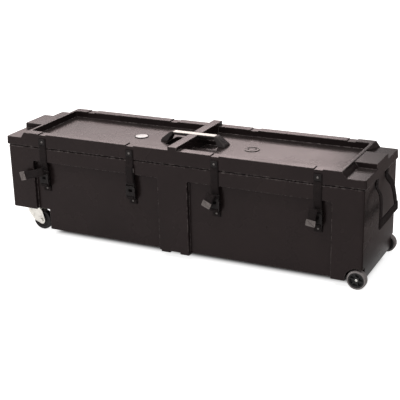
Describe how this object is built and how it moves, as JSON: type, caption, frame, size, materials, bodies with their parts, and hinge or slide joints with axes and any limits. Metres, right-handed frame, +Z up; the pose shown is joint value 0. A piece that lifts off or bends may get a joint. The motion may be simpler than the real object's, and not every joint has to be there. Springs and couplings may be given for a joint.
{
  "type": "drum hardware case",
  "caption": "Long hinged plastic hardware case with strap buckles, castors at one end, fixed corner wheels at the other, and carry handles.",
  "frame": {"origin": "on the ground under the centre of the overall bounding box", "axes": "+X towards the fixed-wheel end, -Y towards the buckles, +Z up"},
  "size_m": [1.3786, 0.3854, 0.396],
  "materials": {
    "shell": "fine moulded grain, soft gloss",
    "webbing": "woven polypropylene webbing",
    "buckle": "satin moulded",
    "strap_tip": "satin moulded",
    "rivet": "nickel plated",
    "grip": "polished",
    "handle_foot": "ribbed moulded",
    "disc": "polished",
    "emblem": "polished",
    "wheel_hub": "moulded",
    "corner_tyre": "grey rubber",
    "zinc": "bright zinc plated",
    "castor_wheel": "black rubber tread on a moulded core"
  },
  "bodies": {
    "base": {"base_shell": "shell", "buckle_female_1": "buckle", "buckle_female_2": "buckle", "buckle_female_3": "buckle", "buckle_female_4": "buckle", "anchor_web_1": "webbing", "anchor_web_2": "webbing", "anchor_web_3": "webbing", "anchor_web_4": "webbing", "base_rivet_1": "rivet", "base_rivet_2": "rivet", "base_rivet_3": "rivet", "base_rivet_4": "rivet", "hinge_web_lower_1": "webbing", "hinge_web_lower_2": "webbing", "hinge_web_lower_3": "webbing", "hinge_web_lower_4": "webbing", "corner_axle_front": "zinc", "corner_axle_rear": "zinc", "castor_plate_front": "zinc", "castor_plate_rear": "zinc"},
    "lid": {"lid_shell": "shell", "top_handle_grip": "grip", "top_handle_foot_left": "handle_foot", "top_handle_foot_right": "handle_foot", "badge_disc": "disc", "emblem_disc": "emblem", "lid_strap_1": "webbing", "lid_strap_2": "webbing", "lid_strap_3": "webbing", "lid_strap_4": "webbing", "tail_tip_1": "strap_tip", "tail_tip_2": "strap_tip", "tail_tip_3": "strap_tip", "tail_tip_4": "strap_tip", "buckle_male_1": "buckle", "buckle_male_2": "buckle", "buckle_male_3": "buckle", "buckle_male_4": "buckle", "lid_rivet_1": "rivet", "lid_rivet_2": "rivet", "lid_rivet_3": "rivet", "lid_rivet_4": "rivet", "hinge_web_upper_1": "webbing", "hinge_web_upper_2": "webbing", "hinge_web_upper_3": "webbing", "hinge_web_upper_4": "webbing"},
    "front_fork": {"castor_fork_front": "zinc", "castor_axle_front": "zinc"},
    "rear_fork": {"castor_fork_rear": "zinc", "castor_axle_rear": "zinc"},
    "front_castor_wheel": {"castor_wheel_front": "castor_wheel"},
    "rear_castor_wheel": {"castor_wheel_rear": "castor_wheel"},
    "front_corner_wheel": {"corner_wheel_front": "wheel_hub", "corner_tyre_front": "corner_tyre"},
    "rear_corner_wheel": {"corner_wheel_rear": "wheel_hub", "corner_tyre_rear": "corner_tyre"},
    "right_handle": {"end_handle_right": "webbing"},
    "left_handle": {"end_handle_left": "webbing"}
  },
  "joints": [
    {"name": "lid_hinge", "type": "hinge", "parent": "base", "child": "lid", "pos_m": [0, 0.19285, 0.33325], "axis": [-1, 0, 0], "range_deg": [0, 170]},
    {"name": "front_castor_swivel", "type": "hinge", "parent": "base", "child": "front_fork", "pos_m": [-0.605, -0.10365, 0.088], "axis": [0, 0, 1], "continuous": true},
    {"name": "rear_castor_swivel", "type": "hinge", "parent": "base", "child": "rear_fork", "pos_m": [-0.605, 0.12635, 0.088], "axis": [0, 0, 1], "continuous": true},
    {"name": "front_castor_roll", "type": "hinge", "parent": "front_fork", "child": "front_castor_wheel", "pos_m": [-0.576, -0.10365, 0.0375], "axis": [0, 1, 0], "continuous": true},
    {"name": "rear_castor_roll", "type": "hinge", "parent": "rear_fork", "child": "rear_castor_wheel", "pos_m": [-0.576, 0.12635, 0.0375], "axis": [0, 1, 0], "continuous": true},
    {"name": "front_corner_roll", "type": "hinge", "parent": "base", "child": "front_corner_wheel", "pos_m": [0.642, -0.15565, 0.032], "axis": [0, 1, 0], "continuous": true},
    {"name": "rear_corner_roll", "type": "hinge", "parent": "base", "child": "rear_corner_wheel", "pos_m": [0.642, 0.17835, 0.032], "axis": [0, 1, 0], "continuous": true},
    {"name": "right_handle_swing", "type": "hinge", "parent": "base", "child": "right_handle", "pos_m": [0.6605, 0.01135, 0.326], "axis": [0, -1, 0], "range_deg": [0, 80]},
    {"name": "left_handle_swing", "type": "hinge", "parent": "base", "child": "left_handle", "pos_m": [-0.6605, 0.01135, 0.326], "axis": [0, 1, 0], "range_deg": [0, 80]}
  ]
}
